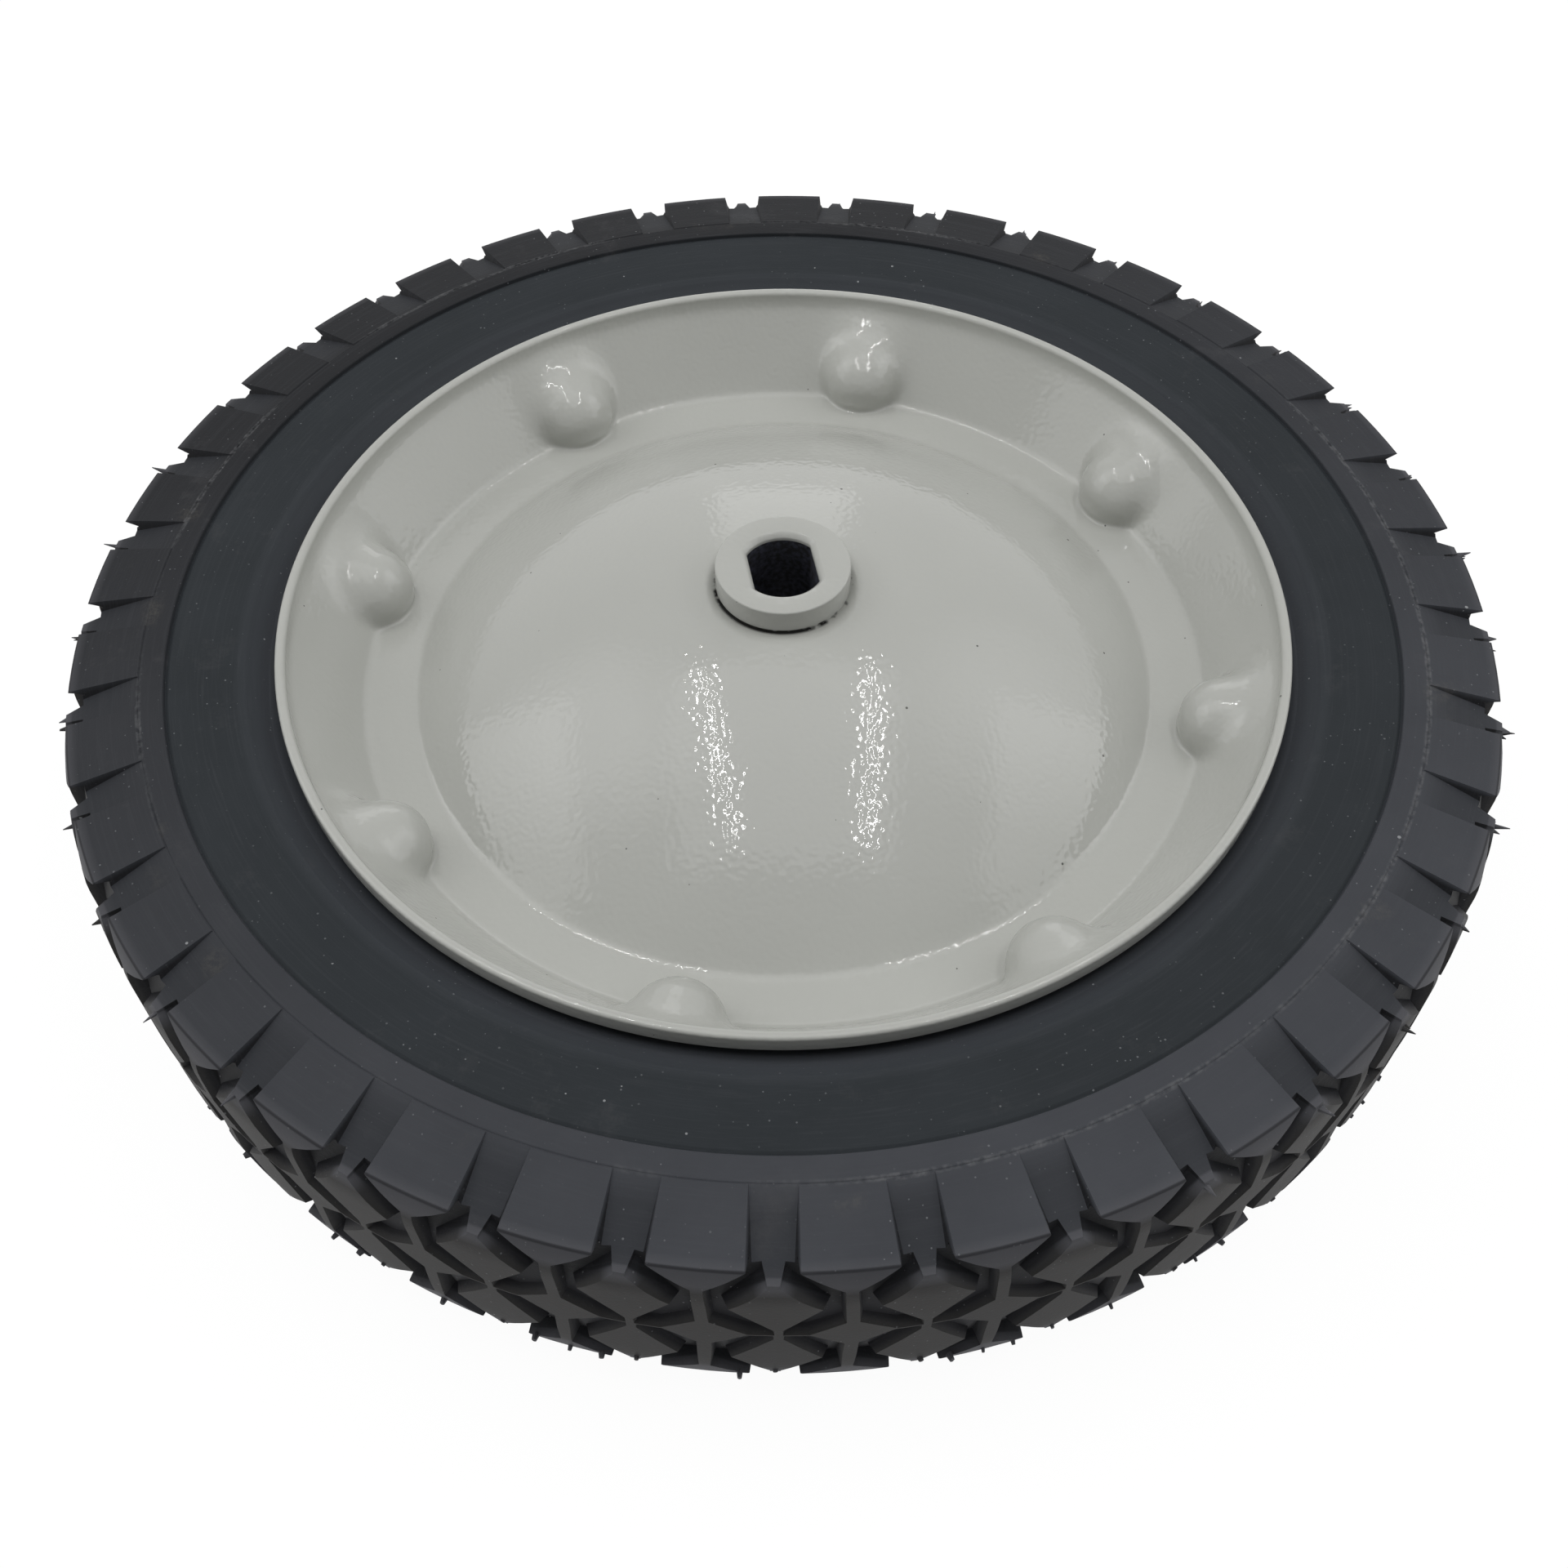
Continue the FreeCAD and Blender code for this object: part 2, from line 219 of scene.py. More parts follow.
def ramp(tree, value, first, last, low=0.0, high=1.0):
    """A value taken from low at first to high at last, and held beyond both."""
    return add(tree, "ShaderNodeMapRange", {0: value, 1: first, 2: last, 3: low, 4: high}).outputs[0]


def length_ramp(tree, length, first, last, low=0.0, high=1.0):
    """A ramp along a length in metres, with its two ends in millimetres."""
    return ramp(tree, length, first * MM, last * MM, low, high)


def ring_line(tree, distance, radius, half):
    """A mask that is 1 on a ring about the axle and fades to both sides; sizes in millimetres."""
    off = maths(tree, "ABSOLUTE", maths(tree, "SUBTRACT", distance, radius * MM))
    return length_ramp(tree, off, half / 2, half, 1.0, 0.0)


def finish_surface(tree, colour, height, depth, settings):
    """The material's surface: a colour and a fine bump, its depth in millimetres."""
    bump = add(tree, "ShaderNodeBump", {"Height": height, "Strength": 1.0, "Distance": depth * MM})
    inputs = {"Base Color": colour, "Normal": bump.outputs["Normal"], **settings}
    surface = add(tree, "ShaderNodeBsdfPrincipled", inputs)
    add(tree, "ShaderNodeOutputMaterial", {"Surface": surface.outputs["BSDF"]})


# Stoved gloss enamel on pressed steel: an even light grey with an orange peel that breaks highlights into
# sparkles, slight changes of depth, a few dark specks of grit and a broken dark line of painted shade at
# the hub's foot.
def stoved_enamel():
    left_front = (-0.55, -0.84, 0)
    peel_spacing = 1.1
    swell_spacing = 6.0
    swell_share = 0.6
    peel_depth = 0.06
    material, tree = new_material("stoved_grey_enamel")
    place = add(tree, "ShaderNodeTexCoord").outputs["Object"]
    coat = tinted(tree, noise(tree, place, 45, 2.0), linear("#aeafaa"), linear("#b8b9b4"))
    coat = tinted(tree, specks(tree, place, 3.5, 0.3, 0.16), coat, linear("#5c5c58"))

    # Painted shade: a broken dark line at the hub's foot stands for the shade in the gap between hub and
    # disc, with more of it towards the left front.
    foot = ring_line(tree, z_size(tree, place), DOME_HEIGHT + 0.1, 0.5)
    at_hub = length_ramp(tree, axle_distance(tree, place), HUB_RADIUS + 0.3, HUB_RADIUS + 0.8, 1.0, 0.0)
    caught = length_ramp(tree, reach_towards(tree, place, left_front), -2, 12, 0.0, 0.3)
    patch = maths(tree, "ADD", noise(tree, place, 2.6, 2.0), caught)
    gap_shade = times(tree, foot, at_hub, ramp(tree, patch, 0.58, 0.72))
    coat = tinted(tree, gap_shade, coat, linear("#2b2b29"))

    peel = noise(tree, place, peel_spacing, 0.0)
    swell = noise(tree, place, swell_spacing, 1.0)
    wave = maths(tree, "MULTIPLY_ADD", swell, swell_share, peel)
    gloss = {"Roughness": 0.05, "IOR": 1.54, "Specular IOR Level": 0.32}
    finish_surface(tree, coat, wave, peel_depth, gloss)
    return material


# Bare steel bore, dark with oil and scale: almost black, with a grey bloom in patches.
def scaled_steel():
    scale_depth = 0.1
    material, tree = new_material("scaled_steel_bore")
    place = add(tree, "ShaderNodeTexCoord").outputs["Object"]
    bloom = noise(tree, place, 1.0, 4.0)
    scale = tinted(tree, ramp(tree, bloom, 0.4, 0.68), linear("#070708"), linear("#3c3e4a"))
    finish_surface(tree, scale, bloom, scale_depth, {"Roughness": 0.6})
    return material


def rubber_zones(tree, place, distance, height):
    """The rubber's colour on the sidewall, the slotted shoulder and the tread; the shoulder is lighter
    towards one side, and the tread's band by the shoulder is painted lighter against its shade.
    """
    lighter_side = (0.28, -0.96, 0)
    lightened_band_heights = (15.5, 17.5)
    bloom = noise(tree, place, 24, 5.0, 0.6)

    def mottled(dark, light):
        return tinted(tree, bloom, linear(dark), linear(light))

    # The shoulder is coloured lighter towards one side and darker away from it.
    towards_lighter_side = length_ramp(tree, reach_towards(tree, place, lighter_side), -0.7 * CROWN_RADIUS, CROWN_RADIUS)
    shoulder = tinted(tree, towards_lighter_side, mottled("#121316", "#1b1c1f"), mottled("#37393e", "#494b50"))
    # Painted light: the tread is coloured lighter towards the shoulder to lift the shade on that band.
    upper = length_ramp(tree, height, *lightened_band_heights)
    tread = tinted(tree, upper, mottled("#2b2a2a", "#3a3938"), mottled("#4c4c50", "#5e5e62"))
    on_shoulder = length_ramp(tree, distance, RING_RADIUS - 0.4, RING_RADIUS + 0.2)
    rubber = tinted(tree, on_shoulder, mottled("#1c2023", "#2b2f33"), shoulder)
    on_tread = length_ramp(tree, distance, SHOULDER_RADIUS - 2, CROWN_RADIUS)
    return tinted(tree, on_tread, rubber, tread)


def rubber_recesses(tree, rubber, distance, height):
    """The colour with painted shade in the grooves, along the crease at the blocks' edge and in the slots,
    and painted light near the rim against the shade of the rim gap.
    """
    groove_end = (18.3, 18.9)
    block_edge = (20.5, 20.8)
    slot_floor = (0.2, 0.9)
    # Painted shade in the grooves: darker below the crown, up to the grooves' ends.
    arch = length_ramp(tree, height, CROWN_FLAT, SHOULDER_HEIGHT,
                       0.0, (CROWN_RADIUS - SHOULDER_RADIUS) * MM)
    level = maths(tree, "ADD", distance, arch)
    groove_shade = times(tree, length_ramp(tree, level, CROWN_RADIUS - 1.4, CROWN_RADIUS - 0.6, 0.75, 0.0),
                   length_ramp(tree, height, *groove_end, 1.0, 0.0))
    rubber = tinted(tree, groove_shade, rubber, linear("#202024"))
    # Painted shade along the crease at the blocks' edge.
    edge = times(tree, ring_line(tree, distance, SHOULDER_RADIUS + 0.1, 0.5),
                 length_ramp(tree, height, *block_edge), 0.7)
    rubber = tinted(tree, edge, rubber, linear("#17171a"))

    fall = length_ramp(tree, distance, BAND_OUTER, SHOULDER_RADIUS,
                       0.0, (TYRE_HALF_WIDTH - SHOULDER_HEIGHT) * MM)
    block_height = maths(tree, "SUBTRACT", TYRE_HALF_WIDTH * MM, fall)
    depth = maths(tree, "SUBTRACT", block_height, height)
    # Painted shade on the slots' floors, darker still on their steep walls.
    slot_shade = times(tree, length_ramp(tree, depth, *slot_floor),
                    length_ramp(tree, distance, BAND_OUTER + 0.2, BAND_OUTER + 1.5),
                    length_ramp(tree, distance, SHOULDER_RADIUS - 0.4, SHOULDER_RADIUS, 1.0, 0.0))
    rubber = tinted(tree, times(tree, slot_shade, 0.6), rubber, linear("#26282c"))
    facing = z_size(tree, add(tree, "ShaderNodeNewGeometry").outputs["Normal"])
    steep_wall_shade = ramp(tree, facing, 0.6, 0.9, 0.8, 0.0)
    rubber = tinted(tree, times(tree, slot_shade, steep_wall_shade), rubber, linear("#121214"))
    # Painted light near the rim that lifts the shade of the gap between tyre and rim.
    rim_gap_light = length_ramp(tree, distance, FLANGE_OUTER + 2, FLANGE_OUTER + 8, 0.7, 0.0)
    return tinted(tree, rim_gap_light, rubber, linear("#484b50"))


def rubber_dust(tree, rubber, place, distance):
    """The colour with streaks, smears, caught dust, specks and fluff on it."""
    streak_drift = 6 * MM
    drift = times(tree, noise(tree, place, 60, 1.0), streak_drift)
    wound = add(tree, "ShaderNodeCombineXYZ", {"X": distance, "Y": drift}).outputs[0]
    streak = ramp(tree, noise(tree, wound, 0.5, 3.0, 0.6), 0.5, 0.8, 0.0, 0.16)
    rubber = tinted(tree, streak, rubber, linear("#4c4e52"))
    smear = times(tree, ramp(tree, noise(tree, place, 15, 8.0, 0.75), 0.58, 0.8), 0.4)
    rubber = tinted(tree, smear, rubber, linear("#4b4b4d"))

    line = times(tree, ring_line(tree, distance, BAND_OUTER, 0.7),
                 ramp(tree, noise(tree, place, 40, 1.0), 0.44, 0.58),
                 ramp(tree, noise(tree, place, 1.1, 3.0), 0.38, 0.7, 0.0, 0.45))
    rubber = tinted(tree, line, rubber, linear("#747577"))
    caught = times(tree, ring_line(tree, distance, BAND_OUTER + 1.5, 4.5),
                   ramp(tree, noise(tree, place, 13, 1.0), 0.66, 0.76),
                   ramp(tree, noise(tree, place, 1.3, 5.0, 0.7), 0.42, 0.68, 0.0, 0.22))
    rubber = tinted(tree, caught, rubber, linear("#716d65"))
    settled = ramp(tree, noise(tree, place, 20, 2.0), 0.42, 0.62, 0.08, 0.5)
    dust = times(tree, specks(tree, place, 1.1, 0.2, 0.4), settled)
    rubber = tinted(tree, dust, rubber, linear("#85878a"))
    fluff = times(tree, specks(tree, place, 3.0, 0.34, 0.06), 0.6)
    return tinted(tree, fluff, rubber, linear("#a8aaac"))


# Moulded black rubber: matt charcoal, bluer on the sidewall, browner on the tread and lighter on one side
# of the shoulder, with painted shade in grooves, slots and the blocks' edge crease, painted light on the
# tread's band by the shoulder and near the rim, fine streaks round the axle from the mould, pale dust
# specks and smears, and dust caught in the mould line and at some slots' ends.
def moulded_rubber():
    grain_depth = 0.04
    material, tree = new_material("moulded_black_rubber")
    place = add(tree, "ShaderNodeTexCoord").outputs["Object"]
    distance = axle_distance(tree, place)
    height = z_size(tree, place)
    rubber = rubber_zones(tree, place, distance, height)
    rubber = rubber_recesses(tree, rubber, distance, height)
    rubber = rubber_dust(tree, rubber, place, distance)
    grain = noise(tree, place, 0.5, 3.0)
    finish_surface(tree, rubber, grain, grain_depth, {"Roughness": 0.62, "Specular IOR Level": 0.14})
    return material


def seen_directly(tree):
    """A mask that is 1 for rays from the camera, from mirrors and through glass, and 0 for other rays."""
    path = add(tree, "ShaderNodeLightPath").outputs
    seen = maths(tree, "MAXIMUM", path["Is Camera Ray"], path["Is Glossy Ray"])
    return maths(tree, "MAXIMUM", seen, path["Is Transmission Ray"])


# White paper floor. The camera and mirror rays see it as white with the object's shadow left in.
def paper_floor():
    white_share = 0.93
    material, tree = new_material("white_paper_floor")
    share = times(tree, seen_directly(tree), white_share)
    paper = add(tree, "ShaderNodeBsdfDiffuse", {"Color": linear("#f4f4f4")})
    white = add(tree, "ShaderNodeEmission", {"Color": linear("#ffffff"), "Strength": 1.03})
    both = add(tree, "ShaderNodeMixShader", {0: share, 1: paper.outputs[0], 2: white.outputs[0]})
    add(tree, "ShaderNodeOutputMaterial", {"Surface": both.outputs[0]})
    return material


def rounded_path(corners):
    """Points along straight runs with corners (x, y, radius) rounded by arcs; radius 0 stays sharp."""
    arc_step = math.radians(14)
    points = []
    for i, (x, y, radius) in enumerate(corners):
        here = Vector((x, y))
        before = Vector(corners[i - 1][:2]) - here
        after = Vector(corners[(i + 1) % len(corners)][:2]) - here
        if not radius or before.length == 0 or after.length == 0:
            points.append(here)
            continue
        opening = before.angle(after)
        tangent = radius / math.tan(opening / 2)
        inwards = (before.normalized() + after.normalized()).normalized()
        middle = here + inwards * radius / math.sin(opening / 2)
        start = here + before.normalized() * tangent - middle
        finish = here + after.normalized() * tangent - middle
        sweep = math.pi - opening
        if start.x * finish.y - start.y * finish.x < 0:
            sweep = -sweep
        steps = max(2, math.ceil(abs(sweep) / arc_step))
        for step in range(steps + 1):
            turn = sweep * step / steps
            c, s = math.cos(turn), math.sin(turn)
            points.append(middle + Vector((start.x * c - start.y * s, start.x * s + start.y * c)))
    return points


def new_piece(name, mesh, material):
    """An object in the scene with this mesh and material."""
    piece = bpy.data.objects.new(name, mesh)
    bpy.context.scene.collection.objects.link(piece)
    piece.data.materials.clear()
    piece.data.materials.append(material)
    return piece


def finish_mesh(mesh):
    """Outward faces, shaded smooth."""
    work = bmesh.new()
    work.from_mesh(mesh)
    bmesh.ops.recalc_face_normals(work, faces=work.faces)
    work.to_mesh(mesh)
    work.free()
    mesh.shade_smooth()
    return mesh


def ring_mesh(name, rings):
    """A closed mesh from closed loops of points, each joined to the next and the last to the first."""
    count = len(rings[0])
    faces = []
    for i in range(len(rings)):
        low = i * count
        high = (i + 1) % len(rings) * count
        for j in range(count):
            k = (j + 1) % count
            faces.append((low + j, low + k, high + k, high + j))
    mesh = bpy.data.meshes.new(name)
    mesh.from_pydata([Vector(p) * MM for ring in rings for p in ring], [], faces)
    return finish_mesh(mesh)


# The pressed disc
def disc_section():
    """The sheet's closed outline, with the front face first: dome, floor, wall, lip flange and back."""
    dome_steps = 22
    front = []
    for i in range(dome_steps):
        r = HUB_RADIUS + (DOME_EDGE - HUB_RADIUS) * i / dome_steps
        front.append((r, dome_centre + math.sqrt(dome_front ** 2 - r ** 2), 0))
    # Each corner is its radius about the axle, its height and its rounding.
    foot = [
        (DOME_EDGE, SHEET, 3.0),
        (CORNER_RADIUS, SHEET, 2.6),
        (LIP_RADIUS, LIP_HEIGHT - LIP_FLANGE, 6.0),
        (LIP_RADIUS, LIP_HEIGHT, 0.9),
        (FLANGE_OUTER, LIP_HEIGHT, 0.7),
        (FLANGE_OUTER, flange_root, 1.0),
        (back_corner, 0, 4.0),
    ]
    dome_back = dome_front - SHEET
    back_edge = math.sqrt(dome_back ** 2 - dome_centre ** 2)
    back = []
    for i in range(dome_steps + 1):
        r = back_edge + (HUB_RADIUS - back_edge) * i / dome_steps
        back.append((r, dome_centre + math.sqrt(dome_back ** 2 - r ** 2), 0))
    return rounded_path(front + foot + back)


def finer_runs(points, first, last, longest):
    """The path with its runs between two radii of the front face cut to a longest length."""
    result = []
    for a, b in zip(points, points[1:] + points[:1]):
        result.append(a)
        if min(a.x, b.x) < first or max(a.x, b.x) > last or min(a.y, b.y) < SHEET - NEAR:
            continue
        pieces = math.ceil((b - a).length / longest)
        result.extend(a.lerp(b, i / pieces) for i in range(1, pieces))
    return result


def disc_angles():
    """Angles round the disc in degrees, closer together at each dimple."""
    near = 10.0
    near_steps = 40
    far_steps = 16
    share = 360 / DIMPLE_COUNT
    angles = []
    for i in range(DIMPLE_COUNT):
        middle = DIMPLE_PHASE + share * i
        angles.extend(middle - near + 2 * near * j / near_steps for j in range(near_steps))
        angles.extend(middle + near + (share - 2 * near) * j / far_steps for j in range(far_steps))
    return np.array(angles)


def smooth_least(a, b, blend):
    """The lesser of two distances, with a soft change from one to the other."""
    overlap = np.maximum(blend - np.abs(a - b), 0) / blend
    return np.minimum(a, b) - overlap ** 2 * blend / 4


def clearance(x, y, z, with_dimple):
    """How far a point before the rim wall and floor is from the sheet, in a dimple's own frame."""
    corner_blend = 2.0
    r = np.hypot(x, y)
    over_floor = z - SHEET
    off_wall = ((CORNER_RADIUS - r) * wall_rise + over_floor * wall_run) / wall_length
    base = smooth_least(over_floor, off_wall, corner_blend)
    if not with_dimple:
        return base
    along = ((x - CORNER_RADIUS) * wall_run + over_floor * wall_rise) / wall_length
    out = ((CORNER_RADIUS - x) * wall_rise + over_floor * wall_run) / wall_length
    dimple = np.sqrt((along - DIMPLE_UP) ** 2 + (out + DIMPLE_SUNK) ** 2 + y ** 2) - DIMPLE_RADIUS
    return smooth_least(base, dimple, DIMPLE_BLEND + DIMPLE_FADE * np.clip(along, 0, 2 * DIMPLE_RADIUS))


def lift(x, y, z, with_dimple):
    """How far along the wall's face direction a point meets the sheet, found by halving."""
    behind = -4.0
    before = 14.0
    halvings = 30
    low = np.full_like(x, behind)
    high = np.full_like(x, before)
    for _ in range(halvings):
        middle = (low + high) / 2
        inside = clearance(x - middle * wall_rise / wall_length, y, z + middle * wall_run / wall_length,
                           with_dimple) < 0
        low = np.where(inside, middle, low)
        high = np.where(inside, high, middle)
    return (low + high) / 2


def disc_rings():
    """The disc's points: the section turned about the axle, with the dimples pressed towards the hub."""
    longest_run = 0.8
    front_edge = LIP_RADIUS - NEAR
    section = finer_runs(disc_section(), DOME_EDGE, front_edge, longest_run)
    angles = disc_angles()
    share = 360 / DIMPLE_COUNT
    local = np.radians((angles - DIMPLE_PHASE + share / 2) % share - share / 2)
    turn = np.radians(angles) - local
    rings = []
    for point in section:
        x = point.x * np.cos(local)
        y = point.x * np.sin(local)
        z = np.full_like(x, point.y)
        if point.y > SHEET - NEAR and CORNER_RADIUS - DIMPLE_RADIUS < point.x < front_edge:
            move = lift(x, y, z, True) - lift(x, y, z, False)
            x = x - move * wall_rise / wall_length
            z = z + move * wall_run / wall_length
        turned_x = x * np.cos(turn) - y * np.sin(turn)
        turned_y = x * np.sin(turn) + y * np.cos(turn)
        rings.append(np.stack([turned_x, turned_y, z], axis=1))
    return rings


def pressed_discs(enamel):
    """The pressing, and the same one turned over for the other side."""
    rings = disc_rings()
    over = np.array([1, -1, -1])
    for name, turned in (("outer_rim_disc", 1), ("inner_rim_disc", over)):
        mesh = ring_mesh(name + "_pressing", [ring * turned for ring in rings])
        piece = new_piece(name + "_pressing", mesh, enamel)
        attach(piece, "root")
        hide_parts(name)


# The hub tube
def hub_tube(enamel, bore):
    """A tube with a double-D bore: enamelled outside and at the bore's mouths, bare in the bore."""
    points = 96
    edge_round = 0.35
    # How much wider than the bore each ring of its mouth is, and how far below the hub's end.
    mouth = [(1.15, 0), (0.85, 0.1), (0.12, 0.85), (0.0, 1.1), (0.0, 1.6)]
    bare_half = HUB_HALF - mouth[-1][1] - NEAR
    bare_radius = BORE_RADIUS + 0.1
    least_cosine = 0.01
    angles = [2 * math.pi * i / points for i in range(points)]

    def circle(radius, z):
        return [(radius * math.cos(a), radius * math.sin(a), z) for a in angles]

    def keyed(wider, z):
        ring = []
        for a in angles:
            to_flat = (BORE_FLAT + wider) / max(abs(math.cos(a)), least_cosine)
            r = min(BORE_RADIUS + wider, to_flat)
            ring.append((r * math.cos(a), r * math.sin(a), z))
        return ring

    rim = [(HUB_RADIUS, 0, 0), (HUB_RADIUS, HUB_HALF, edge_round), (BORE_RADIUS, HUB_HALF, 0)]
    upper = [circle(p.x, p.y) for p in rounded_path(rim)[1:-1]]
    upper += [keyed(wider, HUB_HALF - drop) for wider, drop in mouth]
    lower = [[(x, y, -z) for x, y, z in ring] for ring in reversed(upper)]
    mesh = ring_mesh("hub_tube", upper + lower)
    piece = new_piece("hub_tube", mesh, enamel)
    mesh.materials.append(bore)
    for face in mesh.polygons:
        centre = face.center / MM
        if math.hypot(centre.x, centre.y) < bare_radius and abs(centre.z) < bare_half:
            face.material_index = 1
    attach(piece, "root")
    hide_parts("hub")


# The tyre
def around(radius, turn, height):
    """A point in metres, from its distance, angle and height about the axle in millimetres."""
    return Vector((radius * math.cos(turn), radius * math.sin(turn), height)) * MM


def pitch_turn(number):
    """The angle of a pitch's middle about the axle."""
    return math.radians(TREAD_PHASE) + number * 2 * math.pi / TREAD_COUNT


def half_section(crown, shoulder):
    """Half the tyre's section, from the parting line over the crown and sidewall to the bead."""
    seam_half = 0.16
    seam_deep = 0.3
    line_deep = 0.25
    crown_heights = (5, CROWN_FLAT, 14.2, 16, 17.6, 19, 20.2)
    seat_height = LIP_HEIGHT - SEAT_DROP
    seat_radius = back_corner + seat_height * wall_run / wall_rise
    bead_height = (BEAD_RADIUS - back_corner) * wall_rise / wall_run
    drop = crown - shoulder
    crown_round = ((SHOULDER_HEIGHT - CROWN_FLAT) ** 2 + drop ** 2) / (2 * drop)
    # Each corner is its radius about the axle, its height and its rounding.
    upper = [(CROWN_RADIUS - seam_deep, 0, 0), (crown, seam_half, 0)]
    for z in crown_heights:
        beyond = max(z - CROWN_FLAT, 0)
        upper.append((crown - crown_round + math.sqrt(crown_round ** 2 - beyond ** 2), z, 0))
    fall = TYRE_HALF_WIDTH - SIDEWALL_FALL
    upper += [
        (shoulder, SHOULDER_HEIGHT, 0.5),
        (BAND_OUTER + 0.3, TYRE_HALF_WIDTH - 0.05, 0),
        (BAND_OUTER, TYRE_HALF_WIDTH - line_deep, 0),
        (BAND_OUTER - 0.25, TYRE_HALF_WIDTH, 0),
        (RING_RADIUS + 0.1, TYRE_HALF_WIDTH, 0.3),
        (RING_RADIUS - 0.15, TYRE_HALF_WIDTH - 0.85, 0.1),
        (RING_RADIUS - 0.9, TYRE_HALF_WIDTH - 0.55, 0.4),
        (RING_RADIUS - 6, TYRE_HALF_WIDTH - 0.85, 0),
        (RING_RADIUS - 10, fall + 0.45, 0),
        (FLANGE_OUTER + GAP_SLOPE, fall - 0.05, 2.5),
        (FLANGE_OUTER + RIM_GAP, TYRE_HALF_WIDTH - GAP_DEPTH, 1.0),
        (seat_radius + 0.05, seat_height, 0),
        (BEAD_RADIUS, bead_height, 0),
    ]
    path = rounded_path(upper)
    path[0] = Vector(upper[0][:2])
    return path


def tyre_section():
    """The tyre's closed section. Its lower half is a little fuller at the shoulder than its upper one."""
    upper = half_section(CROWN_RADIUS, SHOULDER_RADIUS)
    lower = half_section(LOWER_CROWN, LOWER_SHOULDER)
    return upper + [Vector((p.x, -p.y)) for p in reversed(lower[1:])]


def wedge_mesh(section):
    """One pitch of the tyre as a closed solid."""
    steps = 6
    half = math.pi / TREAD_COUNT
    verts = []
    for i in range(steps + 1):
        turn = -half + 2 * half * i / steps
        verts += [around(p.x, turn, p.y) for p in section]
    count = len(section)
    faces = [tuple(range(count)), tuple(range(steps * count, (steps + 1) * count))]
    for i in range(steps):
        for j in range(count):
            k = (j + 1) % count
            faces.append((i * count + j, i * count + k, (i + 1) * count + k, (i + 1) * count + j))
    mesh = bpy.data.meshes.new("tread_pitch")
    mesh.from_pydata(verts, [], faces)
    return finish_mesh(mesh)


def inset(outline, distance):
    """A counter-clockwise outline with every side moved inwards."""
    straight = 1e-6
    moved = []
    for i, point in enumerate(outline):
        before = (point - outline[i - 1]).normalized()
        after = (outline[(i + 1) % len(outline)] - point).normalized()
        left = Vector((-before.y, before.x))
        cross = before.x * after.y - before.y * after.x
        if abs(cross) < straight:
            moved.append(point + left * distance)
            continue
        moved.append(point + (after - before) * distance / cross)
    return moved


def prism(low, high):
    """Vertices and faces of a solid between two outlines with the same corners."""
    count = len(low)
    faces = [tuple(range(count)), tuple(range(count, 2 * count))]
    faces += [(i, (i + 1) % count, count + (i + 1) % count, count + i) for i in range(count)]
    return [Vector(p) * MM for p in low + high], faces


def joined_mesh(name, solids):
    """One mesh from the vertices and faces of several solids."""
    verts = []
    faces = []
    for points, sides in solids:
        faces += [tuple(i + len(verts) for i in side) for side in sides]
        verts += points
    mesh = bpy.data.meshes.new(name)
    mesh.from_pydata(verts, [], faces)
    return finish_mesh(mesh)


def leaning(y, z):
    """A place across the tread, moved aside by a lean that grows away from the parting line."""
    return y - TREAD_LEAN * abs(z) / SHOULDER_HEIGHT


def chevron_cutters():
    """The four chevron pockets of one pitch, with drafted walls."""
    half_pitch = math.pi * CROWN_RADIUS / TREAD_COUNT
    clear = 0.9
    beyond = TYRE_HALF_WIDTH + clear
    corner = half_pitch - RIB_HALF
    outline = [Vector(p) for p in (
        (RIB_HALF, beyond), (RIB_HALF, DIAMOND_TOP), (DIAMOND_HALF, DIAMOND_MID), (TIP_HALF, DIAMOND_TIP),
        (TIP_HALF, CHEVRON_TIP), (CHEVRON_FOOT, CHEVRON_TIP), (corner, CHEVRON_LOW), (corner, CHEVRON_HIGH),
        (NOTCH_HALF, SHOULDER_HEIGHT), (NOTCH_HALF, beyond))]
    floor = inset(outline, GROOVE_DEPTH * DRAFT)
    mouth = inset(outline, -clear * DRAFT)

    def floor_radius(z):
        fall = GROOVE_FALL if z < DIAMOND_MID else GROOVE_DIVE
        return CROWN_RADIUS - GROOVE_DEPTH - fall * (min(z, SHOULDER_HEIGHT) - DIAMOND_MID)

    solids = []
    for side in (1, -1):
        for face in (1, -1):
            low = [(floor_radius(p.y), leaning(side * p.x, p.y), face * p.y) for p in floor]
            high = [(CROWN_RADIUS + clear, leaning(side * p.x, p.y), face * p.y) for p in mouth]
            solids.append(prism(low, high))
    return joined_mesh("chevron_cutters", solids)


